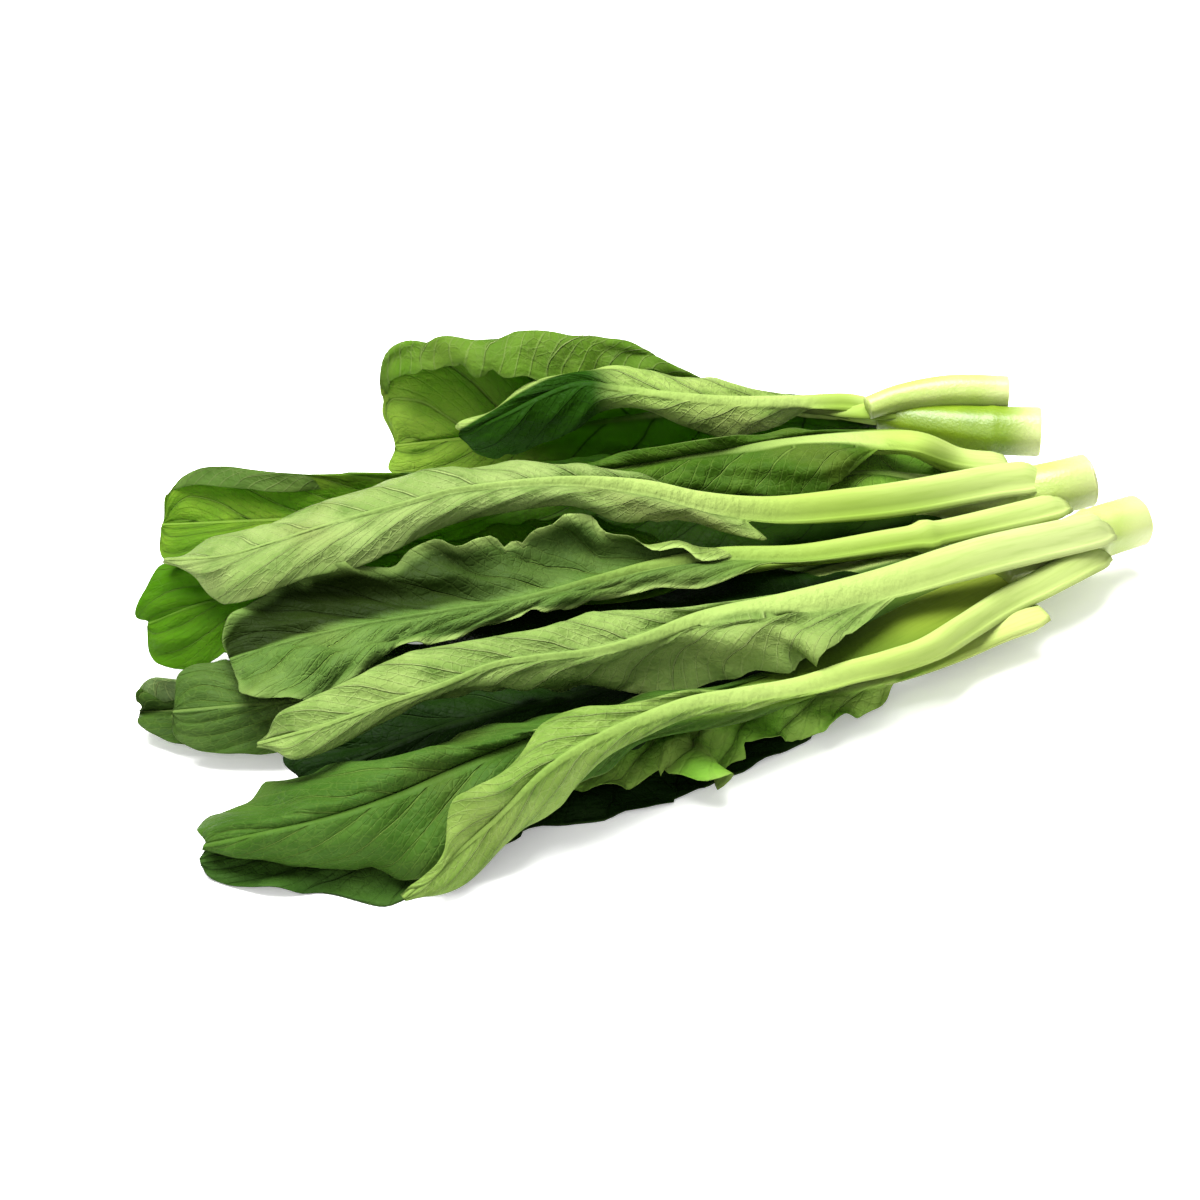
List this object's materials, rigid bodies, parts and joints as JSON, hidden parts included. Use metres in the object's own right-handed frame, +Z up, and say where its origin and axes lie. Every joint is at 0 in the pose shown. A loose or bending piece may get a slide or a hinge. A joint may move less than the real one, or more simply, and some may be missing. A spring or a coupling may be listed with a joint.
{
  "type": "choy sum bunch",
  "caption": "Bunch of choy sum lying down: thick pale green cut stems at one end, and long ribbed green leaves with folded, waved blades fanning out at the other",
  "frame": {"origin": "bottom centre of the bunch's box, on the surface it lies on", "axes": "+X along the bunch from the leaf tips to the cut stem ends, +Y towards the rear plant, +Z up"},
  "size_m": [0.3344, 0.2448, 0.0557],
  "materials": {
    "stem": "moist pale yellow-green stem skin, lighter at the cut end",
    "leaf": "satin mid green leaf with a pale rib and fine veins, lighter on its underside",
    "leaf_pale_side": "satin pale green leaf underside with a raised rib and veins, darker green on its other face"
  },
  "bodies": {
    "root": {"front_stem": "stem", "middle_stem": "stem", "rear_stem": "stem", "rear_cut_stalk": "stem", "front_floor_leaf": "leaf", "middle_floor_leaf": "leaf", "left_curled_leaf": "leaf", "front_crinkled_leaf": "leaf", "front_shaded_leaf": "leaf", "rear_left_leaf": "leaf", "front_spread_leaf": "leaf", "front_side_leaf": "leaf_pale_side", "middle_tip_leaf": "leaf", "middle_cupped_leaf": "leaf", "middle_back_leaf": "leaf", "middle_young_leaf": "leaf", "middle_top_leaf": "leaf_pale_side", "front_top_leaf": "leaf_pale_side", "rear_rolled_leaf": "leaf", "rear_folded_leaf": "leaf_pale_side"}
  },
  "joints": []
}
